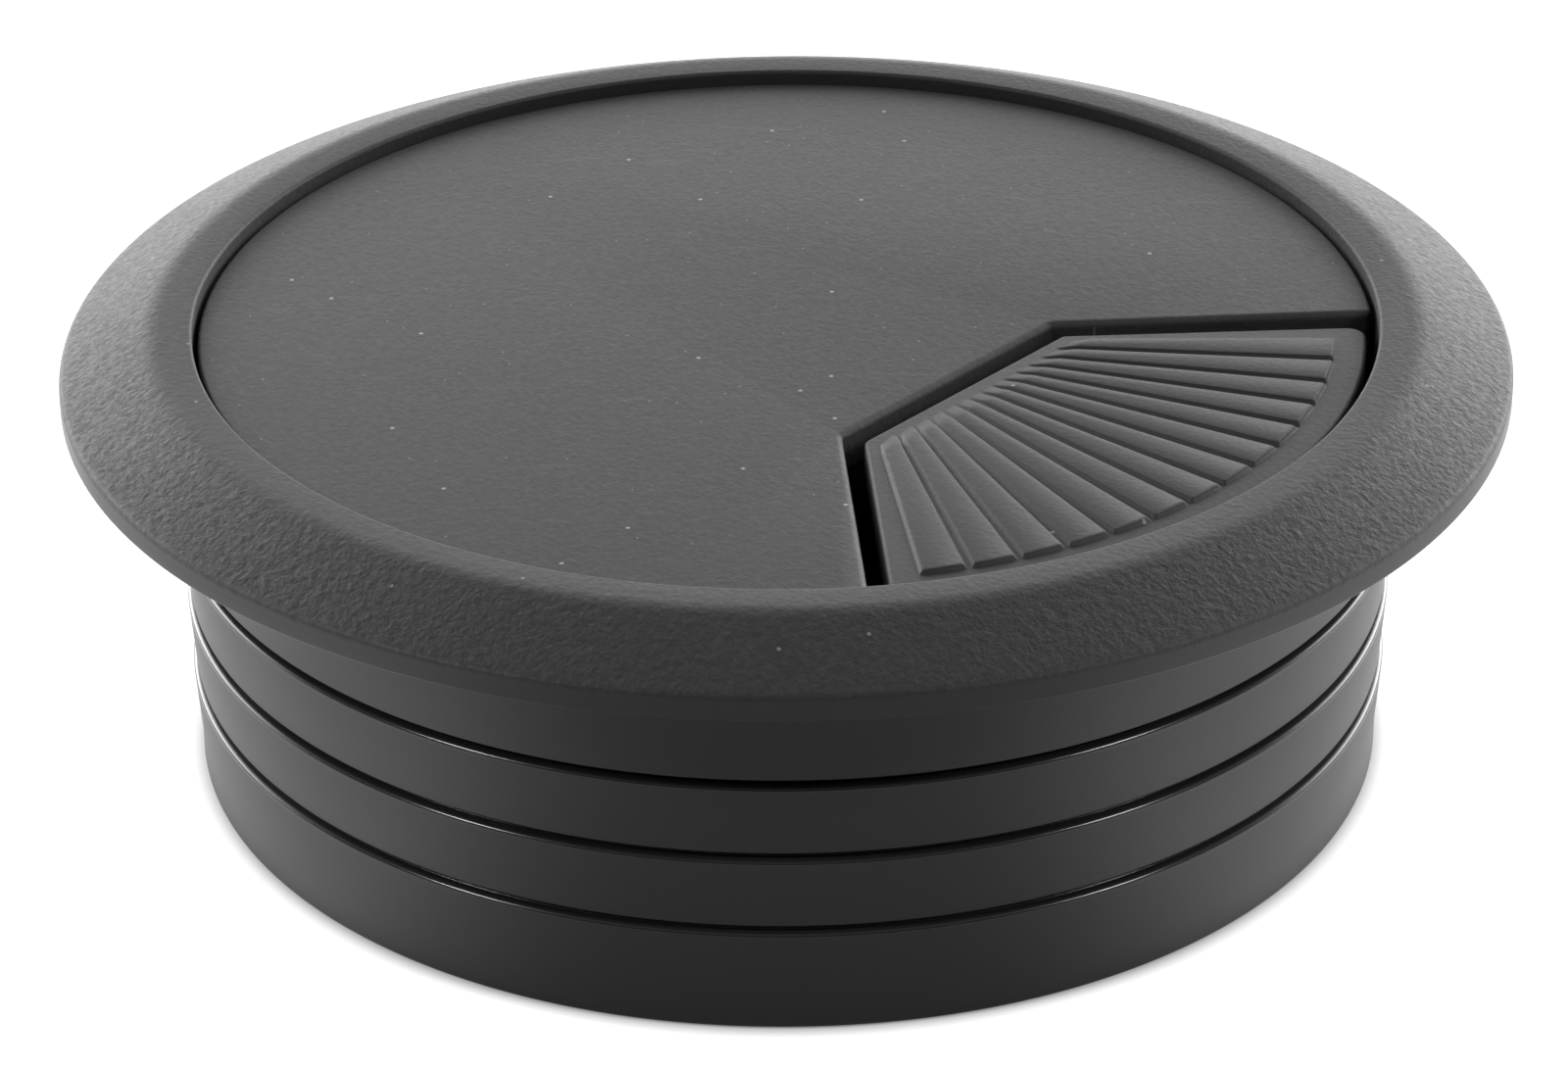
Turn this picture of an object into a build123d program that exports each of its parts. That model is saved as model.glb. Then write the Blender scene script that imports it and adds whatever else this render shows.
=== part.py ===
"""Round desk grommet: a barbed liner for a 60 mm hole, a drop-in cap that turns in it, and a sprung flap.

Millimetres, +Z up. The origin is on the axis of the hole, level with the desk top, where the underside
of the flange rests. The cable slot of the cap opens along +X, and the flap hinges about an axis along Y.
"""

import os
from math import cos, radians, sin, sqrt, tan

from build123d import *

os.makedirs("parts", exist_ok=True)

# Liner: a flange over the desk top and a sleeve down the hole
hole_d = 60.0  # hole in the desk
hole_clearance = 0.3  # radial, between the plain land of the sleeve and the hole
flange_overlap = 5.25  # flange beyond the edge of the hole
flange_edge_h = 1.25  # upright edge of the flange
crest_h = 3.15  # top of the flange above the desk
crest_w = 1.95  # level ring round the bore, before the flange slopes away
sleeve_depth = 19.6  # below the desk top
sleeve_wall = 0.95  # at the plain land of the sleeve
lower_wall_extra = 0.45  # added inside, below the support ring
land_h = 6.15  # plain length of the sleeve under the flange
barb_count = 3
barb_pitch = 3.9
barb_groove_h = 0.45  # groove above each barb
barb_groove_depth = 0.3
barb_rise = 0.28  # lip of a barb over its foot
barb_taper = 0.09  # each barb is this much smaller in radius than the one above
barb_proud = 0.12  # lip of the first barb over the plain land

# Support ring inside the sleeve, which the cap stands on and clips under
ring_clearance = 0.4  # tip of the swinging flap to the ring
ring_h = 1.2
ring_w = 1.35

# Cap
cap_gap = 0.24  # radial, cap to bore
cap_sink = 0.62  # top of the cap below the crest
cap_t = 2.0
cap_rim_edge = 0.2  # edge rounding
seat_clearance = 0.05  # between running faces
slot_chord = 10.3  # inner edge of the cable slot, from the axis
slot_half_chord = 7.8
slot_half_angle = 45.0  # each side of the slot to the X axis
slot_edge = 0.35  # edge rounding round the slot
finger_count = 5
finger_spacing = 59.0  # degrees between snap fingers
finger_arc = 16.0  # degrees that one finger takes
finger_t = 1.4
neck_t = 1.2
finger_gap = 0.35  # finger to bore
neck_gap = 0.25  # finger to the support ring
hook_reach = 0.55  # under the support ring
hook_h = 0.7
hook_lead = 0.9  # sloping tip below the hook

# Flap
flap_gap = 1.0  # flap to the edges of the slot
flap_bore_gap = 0.6  # flap to the bore
flap_t = 1.8
flap_drop = 0.15  # inner edge of the flap below the top of the cap
flap_droop = 0.6  # degrees that the closed flap hangs outward
flap_inner_corner = 0.5
flap_outer_corner = 0.9
flap_edge = 0.25  # edge rounding
rib_count = 14
rib_h = 0.3
rib_share = 0.86  # foot of a rib as a share of the pitch
rib_draft = 28.0  # slope of the sides of a rib, degrees
rib_inner_margin = 0.45  # inner edge of the flap to the ribs
rib_side_margin = 3.2  # degrees from a side of the flap to the first rib
rib_outer_margin = 1.45  # ribs to the outer edge of the flap

# Hinge
pin_d = 1.2
pin_clearance = 0.05  # radial, in the flap
pin_press = 0.01  # radial, in the lugs
pin_setback = 1.6  # pin axis inward of the slot edge
pin_chamfer = 0.15
barrel_t = 0.6  # knuckle wall round the pin
barrel_headroom = 0.25  # knuckle to the underside of the cap
lug_t = 1.6
lug_wall = 0.85  # lug round the pin
lug_reach = 7.0  # outer face of a lug from the X axis
lug_gap = 0.2  # knuckle to lug
pin_proud = 0.2  # pin past each lug
web_reach = 3.6  # knuckle web out under the flap
stop_len = 0.9  # stop heel that meets the cap when the flap is shut

# Torsion spring
wire_d = 0.4
coil_clearance = 0.3  # radial, round the pin
coil_turns = 4
coil_pitch = 0.44
coil_gap = 0.35  # coil to the knuckles
leg_gap = 0.03  # leg to the face that it presses
flap_leg_reach = 6.0  # along the flap, from its inner edge
cap_leg_reach = 7.0  # along the cap, inward from the pin

# Derived places
land_r = hole_d / 2 - hole_clearance
flange_r = hole_d / 2 + flange_overlap
bore_r = land_r - sleeve_wall
lower_bore_r = bore_r - lower_wall_extra
ring_r = bore_r - ring_w
cap_r = bore_r - cap_gap
cap_top = crest_h - cap_sink
cap_under = cap_top - cap_t
root = 0.4  # how far an added feature is sunk into the wall that carries it
slot_slope = radians(slot_half_angle)
flap_chord = slot_chord + flap_gap
flap_half_chord = slot_half_chord + flap_gap * tan(slot_slope) - flap_gap / cos(slot_slope)
flap_r = bore_r - flap_bore_gap
flap_top = cap_top - flap_drop
fan_apex = flap_chord - flap_half_chord / tan(slot_slope)
barrel_r = pin_d / 2 + barrel_t
pin_x = slot_chord - pin_setback
pin_z = cap_under - barrel_headroom - barrel_r
swing_r = sqrt((flap_r - pin_x) ** 2 + (flap_top - pin_z) ** 2)
ring_z = pin_z - sqrt(swing_r**2 - (ring_r - ring_clearance - pin_x) ** 2)
coil_d = pin_d + wire_d + 2 * coil_clearance
coil_half = coil_turns * coil_pitch / 2
knuckle_in = coil_half + wire_d / 2 + coil_gap
knuckle_out = lug_reach - lug_t - lug_gap
droop = radians(flap_droop)
leaf_plane = Plane(
    origin=(flap_chord, 0, flap_top),
    x_dir=(cos(droop), 0, -sin(droop)),
    z_dir=(sin(droop), 0, cos(droop)),
)


def corner(sketch, x, y):
    """The vertex of a section that lies nearest to a point."""
    return sketch.vertices().sort_by_distance((x, y, 0))[0]


def along_slope(x, y, slope, radius):
    """The run from (x, y) along a slope to the circle of that radius about the axis."""
    part_way = x * cos(slope) + y * sin(slope)
    return sqrt(part_way**2 - x**2 - y**2 + radius**2) - part_way


def flap_underside(x):
    """Height of the underside of the closed flap at x."""
    return flap_top - flap_t / cos(droop) - (x - flap_chord) * tan(droop)


# Liner: flange, sleeve and support ring are one turned section, and the barbs follow down the sleeve
foot_r = land_r + barb_proud - barb_rise - (barb_count - 1) * barb_taper
crest_r = bore_r + crest_w
with BuildPart() as liner:
    with BuildSketch(Plane.XZ) as section:
        with BuildLine():
            Polyline(
                (flange_r, 0),
                (flange_r, flange_edge_h),
                (crest_r, crest_h),
                (bore_r, crest_h),
                (bore_r, ring_z),
                (ring_r, ring_z),
                (ring_r, ring_z - ring_h),
                (lower_bore_r, ring_z - ring_h),
                (lower_bore_r, -sleeve_depth),
                (foot_r, -sleeve_depth),
                (foot_r, -land_h - barb_groove_h),
                (land_r, -land_h),
                (land_r, 0),
                close=True,
            )
        make_face()
        fillet(corner(section, crest_r, crest_h), 2.5)
        fillet(corner(section, flange_r, flange_edge_h), 0.4)
        fillet(corner(section, flange_r, 0), 0.15)
        fillet(corner(section, bore_r, crest_h), 0.25)
        fillet(corner(section, foot_r, -sleeve_depth), 0.35)
        fillet(corner(section, lower_bore_r, -sleeve_depth), 0.25)
    revolve(axis=Axis.Z)
    for n in range(barb_count):
        groove_z = -land_h - n * barb_pitch
        lip_z = groove_z - barb_groove_h
        lip_r = land_r + barb_proud - n * barb_taper
        barb_end = min(barb_pitch - barb_groove_h, sleeve_depth + lip_z - 1.0)
        with BuildSketch(Plane.XZ):
            with BuildLine():
                Polyline(
                    (foot_r - root, lip_z),
                    (lip_r, lip_z),
                    (lip_r - barb_rise, lip_z - barb_end),
                    (foot_r - root, lip_z - barb_end),
                    close=True,
                )
            make_face()
        revolve(axis=Axis.Z)
        with BuildSketch(Plane.XZ):
            with BuildLine():
                Polyline(
                    (land_r + barb_proud, groove_z),
                    (foot_r - barb_groove_depth, lip_z),
                    (land_r + barb_proud, lip_z),
                    close=True,
                )
            make_face()
        revolve(axis=Axis.Z, mode=Mode.SUBTRACT)
liner.part.label = "liner"
export_step(liner.part, "parts/liner.step")

# Cap: a disc with the cable slot cut out of it, snap fingers round its underside and two hinge lugs
finger_r = bore_r - finger_gap
neck_r = ring_r - neck_gap
seat_z = ring_z + seat_clearance
hook_z = ring_z - ring_h - seat_clearance
hook_r = ring_r + hook_reach
tip_z = hook_z - hook_h - hook_lead
slot_run = along_slope(slot_chord, slot_half_chord, slot_slope, cap_r + 2)
with BuildPart() as cap:
    with BuildSketch(Plane.XY.offset(cap_under)) as disc:
        Circle(cap_r)
        with BuildLine():
            slot_far = slot_chord + slot_run * cos(slot_slope)
            slot_far_half = slot_half_chord + slot_run * sin(slot_slope)
            Polyline(
                (slot_chord, -slot_half_chord),
                (slot_far, -slot_far_half),
                (cap_r + slot_far, 0),
                (slot_far, slot_far_half),
                (slot_chord, slot_half_chord),
                close=True,
            )
        make_face(mode=Mode.SUBTRACT)
        for side in (1, -1):
            fillet(corner(disc, slot_chord, side * slot_half_chord), slot_edge)
    extrude(amount=cap_t)
    fillet(cap.faces().sort_by(Axis.Z)[-1].edges().sort_by(SortBy.LENGTH)[:-1], slot_edge)
    fillet(cap.faces().sort_by(Axis.Z)[-1].edges().sort_by(SortBy.LENGTH)[-1], cap_rim_edge)
    for n in range(finger_count):
        azimuth = 180 + (n - (finger_count - 1) / 2) * finger_spacing - finger_arc / 2
        with BuildSketch(Plane.XZ.rotated((0, 0, azimuth))):
            with BuildLine():
                Polyline(
                    (finger_r, cap_under + root),
                    (finger_r, seat_z),
                    (neck_r, seat_z),
                    (neck_r, hook_z),
                    (hook_r, hook_z),
                    (hook_r, hook_z - hook_h),
                    (neck_r, tip_z),
                    (neck_r - neck_t, tip_z),
                    (neck_r - neck_t, seat_z),
                    (finger_r - finger_t, seat_z + finger_t),
                    (finger_r - finger_t, cap_under + root),
                    close=True,
                )
            make_face()
        revolve(axis=Axis.Z, revolution_arc=finger_arc)
    for start in (lug_reach, lug_t - lug_reach):
        with BuildSketch(Plane.XZ.offset(-start)):
            with Locations((pin_x, pin_z)):
                Circle(pin_d / 2 + lug_wall)
            with BuildLine():
                Polyline(
                    (pin_x - pin_d / 2 - lug_wall, pin_z),
                    (pin_x + pin_d / 2 + lug_wall, pin_z),
                    (pin_x + pin_d / 2 + lug_wall, cap_under + root),
                    (pin_x - pin_d - lug_wall, cap_under + root),
                    close=True,
                )
            make_face()
            with Locations((pin_x, pin_z)):
                Circle(pin_d / 2 - pin_press, mode=Mode.SUBTRACT)
        extrude(amount=lug_t)
cap.part.label = "cap"
export_step(cap.part, "parts/cap.step")

# Flap: a plate that fills the slot, raised ribs fanned over it, and two knuckles on the hinge pin
flap_run = along_slope(flap_chord, flap_half_chord, slot_slope, flap_r)
outer_x = flap_run * cos(slot_slope)
outer_half = flap_half_chord + flap_run * sin(slot_slope)
rib_pitch = (2 * slot_half_angle - 2 * rib_side_margin) / rib_count
rib_end_r = flap_r - rib_outer_margin
apex_x = fan_apex - flap_chord
with BuildPart() as flap:
    with BuildSketch(leaf_plane) as leaf:
        with BuildLine():
            Line((0, -flap_half_chord), (0, flap_half_chord))
            Line((0, flap_half_chord), (outer_x, outer_half))
            ThreePointArc((outer_x, outer_half), (flap_r - flap_chord, 0), (outer_x, -outer_half))
            Line((outer_x, -outer_half), (0, -flap_half_chord))
        make_face()
        for side in (1, -1):
            fillet(corner(leaf, 0, side * flap_half_chord), flap_inner_corner)
            fillet(corner(leaf, outer_x, side * outer_half), flap_outer_corner)
    extrude(amount=-flap_t)
    fillet(flap.faces().sort_by(Axis.Z)[-1].edges(), flap_edge)
    with BuildSketch(leaf_plane):
        for n in range(rib_count):
            middle = (n - (rib_count - 1) / 2) * rib_pitch
            corners = []
            for turn in (-rib_share / 2, rib_share / 2):
                ray = radians(middle + turn * rib_pitch)
                near = (rib_inner_margin - apex_x) / cos(ray)
                far = along_slope(fan_apex, 0, ray, rib_end_r)
                corners.append((apex_x + near * cos(ray), near * sin(ray)))
                corners.append((apex_x + far * cos(ray), far * sin(ray)))
            with BuildLine():
                Polyline(corners[0], corners[1], corners[3], corners[2], close=True)
            make_face()
    extrude(amount=rib_h, taper=rib_draft)
    for start in (knuckle_out, -knuckle_in):
        with BuildSketch(Plane.XZ.offset(-start)):
            with Locations((pin_x, pin_z)):
                Circle(barrel_r)
            with BuildLine():
                stop_z = cap_under - seat_clearance
                web_end = flap_chord + web_reach
                Polyline(
                    (pin_x, pin_z + barrel_r),
                    (slot_chord - stop_len, stop_z),
                    (slot_chord, stop_z),
                    (flap_chord + root, flap_underside(flap_chord) + root),
                    (web_end, flap_underside(web_end) + root),
                    (web_end, flap_underside(web_end)),
                    (pin_x + barrel_r * cos(radians(45)), pin_z - barrel_r * sin(radians(45))),
                    (pin_x, pin_z),
                    close=True,
                )
            make_face()
            with Locations((pin_x, pin_z)):
                Circle(pin_d / 2 + pin_clearance, mode=Mode.SUBTRACT)
        extrude(amount=knuckle_out - knuckle_in)
flap.part.label = "flap"
export_step(flap.part, "parts/flap.step")

# Hinge pin: a plain steel pin pressed through both lugs
pin_end = lug_reach + pin_proud
with BuildPart() as hinge_pin:
    with BuildSketch(Plane.XZ.offset(-pin_end)):
        with Locations((pin_x, pin_z)):
            Circle(pin_d / 2)
    extrude(amount=2 * pin_end)
    chamfer(hinge_pin.faces().filter_by(Axis.Y).edges(), pin_chamfer)
hinge_pin.part.label = "hinge_pin"
export_step(hinge_pin.part, "parts/hinge_pin.step")

# Torsion spring: one leg under the cap, a coil round the pin, and one leg under the flap
coil_top = pin_z + coil_d / 2
cap_leg_end = (pin_x - cap_leg_reach, -coil_half, cap_under - leg_gap - wire_d / 2)
flap_leg_x = flap_chord + flap_leg_reach
flap_leg_end = (flap_leg_x, coil_half, flap_underside(flap_leg_x) - leg_gap - wire_d / 2)
with BuildPart() as flap_spring:
    with BuildLine() as wire_line:
        cap_leg = Line(cap_leg_end, (pin_x, -coil_half, coil_top))
        Helix(
            pitch=coil_pitch,
            height=2 * coil_half,
            radius=coil_d / 2,
            center=(pin_x, -coil_half, pin_z),
            direction=(0, 1, 0),
        )
        Line((pin_x, coil_half, coil_top), flap_leg_end)
    with BuildSketch(Plane(origin=cap_leg @ 0, z_dir=cap_leg % 0)):
        Circle(wire_d / 2)
    sweep(path=wire_line.wires()[0])
flap_spring.part.label = "flap_spring"
export_step(flap_spring.part, "parts/flap_spring.step")
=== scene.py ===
"""Desk grommet: a moulded liner, a drop-in cap that turns in it, and a sprung flap with a fan of ribs.

Metres throughout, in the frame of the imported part: +Z up, the origin on the axis of the hole at the
level of the desk top, the cable slot opening along +X, and the hinge of the flap along Y.
"""

from math import cos, pi, radians, sin, sqrt, tan

import bmesh
import bpy
from mathutils import Matrix, Vector


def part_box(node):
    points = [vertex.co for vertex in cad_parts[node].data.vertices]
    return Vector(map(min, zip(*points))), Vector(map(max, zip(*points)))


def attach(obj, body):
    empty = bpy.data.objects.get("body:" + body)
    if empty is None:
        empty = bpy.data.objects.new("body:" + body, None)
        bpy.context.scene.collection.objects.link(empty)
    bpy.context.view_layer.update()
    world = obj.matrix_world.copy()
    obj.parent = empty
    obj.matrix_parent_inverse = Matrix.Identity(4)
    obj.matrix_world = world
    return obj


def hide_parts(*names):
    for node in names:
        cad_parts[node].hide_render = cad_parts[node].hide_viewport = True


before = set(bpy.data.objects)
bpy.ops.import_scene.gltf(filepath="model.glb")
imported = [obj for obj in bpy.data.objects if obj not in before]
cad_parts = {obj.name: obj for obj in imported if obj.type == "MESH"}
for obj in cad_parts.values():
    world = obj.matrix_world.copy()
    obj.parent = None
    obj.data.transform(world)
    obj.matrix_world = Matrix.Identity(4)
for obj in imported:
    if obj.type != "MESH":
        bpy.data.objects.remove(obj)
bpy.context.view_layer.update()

bl_info = {
    "name": "Desk Grommet",
    "version": (1, 0, 0),
    "blender": (4, 5, 0),
    "location": "3D View > Sidebar > Grommet",
    "description": "Builds a round desk grommet with a turning cap and a sprung cable flap",
    "category": "Add Mesh",
}

MM = 0.001
JOIN = 0.1 * MM  # how far one moulded shape reaches into the next
HIDDEN_EDGE = 0.1 * MM  # rounding along edges under the cap
LUG_EDGE = 0.12 * MM
RUNNING = 0.05 * MM  # clearance of the parts that turn
WIRE_GAP = 0.03 * MM  # from the spring to a plate that it presses on
WEB_REACH = 3.6 * MM  # how far a knuckle's web runs out under the plate
WEB_NEAR = 0.4 * MM  # where the web starts under the plate
WEB_BACK = 0.9 * MM  # how far it runs back under the cap
DRILL = 0.02  # half the length of the tool that drills the holes for the pin
FAN_CORNER = radians(1.6)  # room for the rounded corners of the slot at the rim
LEAF_CORNER = radians(2.6)  # the same for the corners of the flap
DARK_R = 28.5 * MM  # the floor's glow is cut out inside this radius: a painted shadow under the object
GLOW_R = 30.5 * MM  # and its whole glow outside this one, where the painted shadow ends
LAMP_SIZE = 0.17
LAMP_DISTANCE = 0.9
liner_low, liner_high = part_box("liner")
cap_low, cap_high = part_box("cap")
pin_low, pin_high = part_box("hinge_pin")
spring_low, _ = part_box("flap_spring")
pin_middle = (pin_low + pin_high) / 2


# Settings that a user can change


def setting(kind, **fixed):
    """A function of name, description and default that makes settings of one kind."""
    return lambda name, description, default: kind(
        name=name, description=description, default=default, **fixed
    )


def angle(name, description, degrees):
    """An angle, given here in degrees."""
    return turn(name, description, radians(degrees))


length = setting(bpy.props.FloatProperty, min=0, precision=5, unit="LENGTH")
place = setting(bpy.props.FloatProperty, precision=5, unit="LENGTH")  # on either side of the origin
turn = setting(bpy.props.FloatProperty, unit="ROTATION")
share = setting(bpy.props.FloatProperty, min=0)
count = setting(bpy.props.IntProperty, min=1)
colour = setting(bpy.props.FloatVectorProperty, size=3, min=0, max=1, subtype="COLOR")


class LinerSettings(bpy.types.PropertyGroup):
    flange_r: length("Flange radius", "Outer radius of the flange", -liner_low.x)
    edge_h: length("Flange edge", "Height of the upright edge of the flange", 1.25 * MM)
    crest_h: length("Crest height", "Top of the flange above the desk", liner_high.z)
    crest_r: length("Crest radius", "Where the level crest turns down into the slope", 30.7 * MM)
    shoulder: length("Shoulder", "Rounding between crest and slope", 2.5 * MM)
    bore_r: length("Bore radius", "Inside of the liner, where the cap turns", 28.75 * MM)
    land_r: length("Land radius", "Plain top of the sleeve", 29.7 * MM)
    land_h: length("Land height", "Plain sleeve under the flange", 6.15 * MM)
    foot_r: length("Foot radius", "Outside of the sleeve at its lower end", 29.36 * MM)
    foot_z: place("Foot", "Lower end of the sleeve", liner_low.z)
    lower_bore_r: length("Lower bore radius", "Inside of the sleeve, below the ring", 28.3 * MM)
    ring_r: length("Ring radius", "Inside of the support ring", 27.4 * MM)
    ring_z: place("Ring top", "Level that the snap fingers stand on", -8.289 * MM)
    ring_h: length("Ring height", "Thickness of the support ring", 1.2 * MM)
    barbs: count("Barbs", "Ridges round the sleeve that grip the hole", 3)
    barb_pitch: length("Barb pitch", "From one barb to the next", 3.9 * MM)
    barb_lip_r: length("Barb lip radius", "Lip of the highest barb", 29.82 * MM)
    barb_taper: length("Barb taper", "Radius lost from one barb to the next", 0.09 * MM)
    barb_rise: length("Barb rise", "Lip of a barb over its foot", 0.28 * MM)
    groove_h: length("Groove height", "Opening above each barb", 0.36 * MM)
    groove_depth: length("Groove depth", "Depth of the groove inside the foot radius", 0.3 * MM)
    colour: colour("Colour", "Black of the liner", (0.0095, 0.0090, 0.0092))


class CapSettings(bpy.types.PropertyGroup):
    radius: length("Cap radius", "Outside of the disc", -cap_low.x)
    top_z: place("Cap top", "Upper face of the disc", cap_high.z)
    thickness: length("Cap thickness", "Thickness of the disc", 2.0 * MM)
    rim_edge: length("Rim edge", "Rounding of the outer edge", 0.2 * MM)
    slot_x: length("Slot chord", "Inner edge of the slot, from the axis", 10.3 * MM)
    slot_half: length("Slot half chord", "Half of the slot's inner edge", 7.8 * MM)
    slot_slope: angle("Slot slope", "Each side of the slot to the X axis", 45)
    slot_edge: length("Slot edge", "Rounding along and in the corners of the slot", 0.35 * MM)
    fingers: count("Snap fingers", "Fingers that clip under the support ring", 5)
    finger_spacing: angle("Finger spacing", "From one finger to the next", 59)
    finger_arc: angle("Finger arc", "Arc that one finger takes", 16)
    finger_r: length("Finger radius", "Outside of a finger", 28.4 * MM)
    finger_t: length("Finger thickness", "Thickness of the upper finger", 1.4 * MM)
    neck_t: length("Neck thickness", "Thickness of the neck", 1.2 * MM)
    neck_r: length("Neck radius", "Outside of the neck inside the ring", 27.15 * MM)
    hook_r: length("Hook radius", "Reach of the hook under the ring", 27.95 * MM)
    seat_z: place("Finger seat", "Step of a finger over the support ring", -8.239 * MM)
    hook_z: place("Hook top", "Top of the hook", -9.539 * MM)
    hook_h: length("Hook height", "Upright face of the hook", 0.7 * MM)
    tip_z: place("Finger tip", "Lower end of a finger", cap_low.z)
    lug_out: length("Lug reach", "Outer face of a hinge lug from the X axis", 7.0 * MM)
    lug_t: length("Lug thickness", "Thickness of a hinge lug", 1.6 * MM)
    lug_r: length("Lug radius", "Round end of a lug about the pin", 1.45 * MM)
    colour: colour("Colour", "Black of the cap", (0.0140, 0.0140, 0.0140))


class FlapSettings(bpy.types.PropertyGroup):
    chord_x: length("Flap chord", "Inner edge of the flap, from the axis", 11.3 * MM)
    half_chord: length("Flap half chord", "Half of the inner edge", 7.386 * MM)
    slope: angle("Side slope", "Each side of the flap to the X axis", 45)
    radius: length("Flap radius", "Outer edge of the flap", 28.15 * MM)
    top_z: place("Flap top", "Top of the plate at its inner edge", 2.38 * MM)
    thickness: length("Flap thickness", "Thickness of the plate", 1.8 * MM)
    droop: angle("Droop", "How far the closed flap hangs outward", 0.6)
    inner_corner: length("Inner corner", "Rounding of the inner corners", 0.5 * MM)
    outer_corner: length("Outer corner", "Rounding of the outer corners", 0.9 * MM)
    edge: length("Edge", "Rounding along the upper edge", 0.25 * MM)
    ribs: count("Ribs", "Raised ribs in the fan", 14)
    rib_pitch: angle("Rib pitch", "Angle from one rib to the next", 5.971)
    rib_share: share("Rib share", "Foot of a rib as a share of the pitch", 0.9)
    rib_h: length("Rib height", "Ribs above the plate", 0.2 * MM)
    rib_draft: angle("Rib draft", "Slope of the sides of a rib", 34)
    rib_apex: place("Fan apex", "Point that the ribs spread from, on the X axis", 3.914 * MM)
    rib_margin: length("Rib inner margin", "Plain border along the inner edge", 0.3 * MM)
    rib_rise: length("Rib rise", "Length over which a rib rises at its inner end", 1.8 * MM)
    rib_end_r: length("Rib end radius", "Outer ends of the ribs", 26.7 * MM)
    knuckle_r: length("Knuckle radius", "Barrel round the pin", 1.2 * MM)
    knuckle_in: length("Knuckle start", "Inner face of a knuckle from the X axis", 1.43 * MM)
    knuckle_out: length("Knuckle end", "Outer face of a knuckle from the X axis", 5.2 * MM)
    colour: colour("Colour", "Black of the flap", (0.0125, 0.0123, 0.0123))


class HingeSettings(bpy.types.PropertyGroup):
    axis_x: place("Pin X", "Axis of the hinge from the axis of the hole", pin_middle.x)
    axis_z: place("Pin height", "Height of the hinge axis", pin_middle.z)
    pin_r: length("Pin radius", "Radius of the hinge pin", (pin_high.x - pin_low.x) / 2)
    pin_end: length("Pin end", "End of the pin from the X axis", pin_high.y)
    chamfer: length("Pin chamfer", "Chamfer on both ends of the pin", 0.15 * MM)
    wire_r: length("Wire radius", "Radius of the spring wire", 0.2 * MM)
    coil_r: length("Coil radius", "Middle of the wire to the pin's axis", 1.1 * MM)
    coil_turns: count("Coil turns", "Turns of the spring", 4)
    coil_half: length("Coil half length", "Half of the coil along the pin", 0.88 * MM)
    fixed_leg: place("Fixed leg end", "End of the leg under the cap", spring_low.x)
    moving_leg: place("Moving leg end", "End of the leg under the flap", 17.3 * MM)
    colour: colour("Colour", "Steel of the pin and the spring", (0.56, 0.55, 0.53))


class StageSettings(bpy.types.PropertyGroup):
    azimuth: angle("Camera azimuth", "Camera round the object", 41.3)
    elevation: angle("Camera elevation", "Camera above the desk top, seen from the origin", 26.217)
    distance: length("Camera distance", "Camera to the origin", 276.7 * MM)
    pitch: angle("Camera pitch", "How far the camera looks down", 27.94)
    yaw: angle("Camera yaw", "Camera turned to its left", 0.038)
    roll: angle("Camera roll", "Camera tipped about its own line of sight", -0.454)
    lens: share("Lens", "Focal length in millimetres, on a sensor 36 mm wide", 130)
    floor_size: length("Floor", "Half width of the floor", 3.0)
    floor_colour: colour("Floor colour", "Pale floor", (0.40, 0.40, 0.40))
    floor_white: share("Floor white", "Glow that keeps the floor pale in the picture", 0.9)
    # The next two set glow painted on the floor beside, behind and in front of the object: painted light
    # seen in reflections, not by the camera.
    floor_sides: share("Floor sides", "Light that the floor throws back beside and behind the object", 0.95)
    floor_front: share("Floor front", "Light that the floor throws back in front of the object", 0.08)
    front: share("Front light", "Studio brightness on the camera's side", 0.05)
    back: share("Back light", "Studio brightness behind the object", 2.3)
    sides: share("Side light", "Soft panels behind the object, to the left and the right", 8.0)
    overhead: share("Overhead light", "Studio brightness straight above", 0.38)
    lamp: share("Lamps", "Brightness of the two soft lamps at the front", 34.0)
    lamp_turn: angle("Lamp turn", "Each front lamp round from the camera", 65)
    lamp_lift: angle("Lamp lift", "Each front lamp above the floor", 35)


SETTINGS = {
    "grommet_liner": LinerSettings,
    "grommet_cap": CapSettings,
    "grommet_flap": FlapSettings,
    "grommet_hinge": HingeSettings,
    "grommet_stage": StageSettings,
}


# Node trees written as Python


def binary(operation, swapped=False):
    """A method that adds a Math node of two numbers. A reflected operator swaps them."""
    if swapped:
        return lambda self, other: self.maker.math(operation, other, self)
    return lambda self, other: self.maker.math(operation, self, other)


def unary(operation):
    """A method that adds a Math node of one number."""
    return lambda self: self.maker.math(operation, self)


class Value:
    """A number in a node tree, which Python arithmetic turns into Math nodes."""

    def __init__(self, maker, socket):
        self.maker = maker
        self.socket = socket

    __add__ = binary("ADD")
    __radd__ = binary("ADD", swapped=True)
    __sub__ = binary("SUBTRACT")
    __rsub__ = binary("SUBTRACT", swapped=True)
    __mul__ = binary("MULTIPLY")
    __rmul__ = binary("MULTIPLY", swapped=True)
    __truediv__ = binary("DIVIDE")
    __rtruediv__ = binary("DIVIDE", swapped=True)
    above = binary("GREATER_THAN")
    sqrt = unary("SQRT")
    sign = unary("SIGN")
    abs = unary("ABSOLUTE")
    sin = unary("SINE")
    cos = unary("COSINE")
    round = unary("ROUND")


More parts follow.
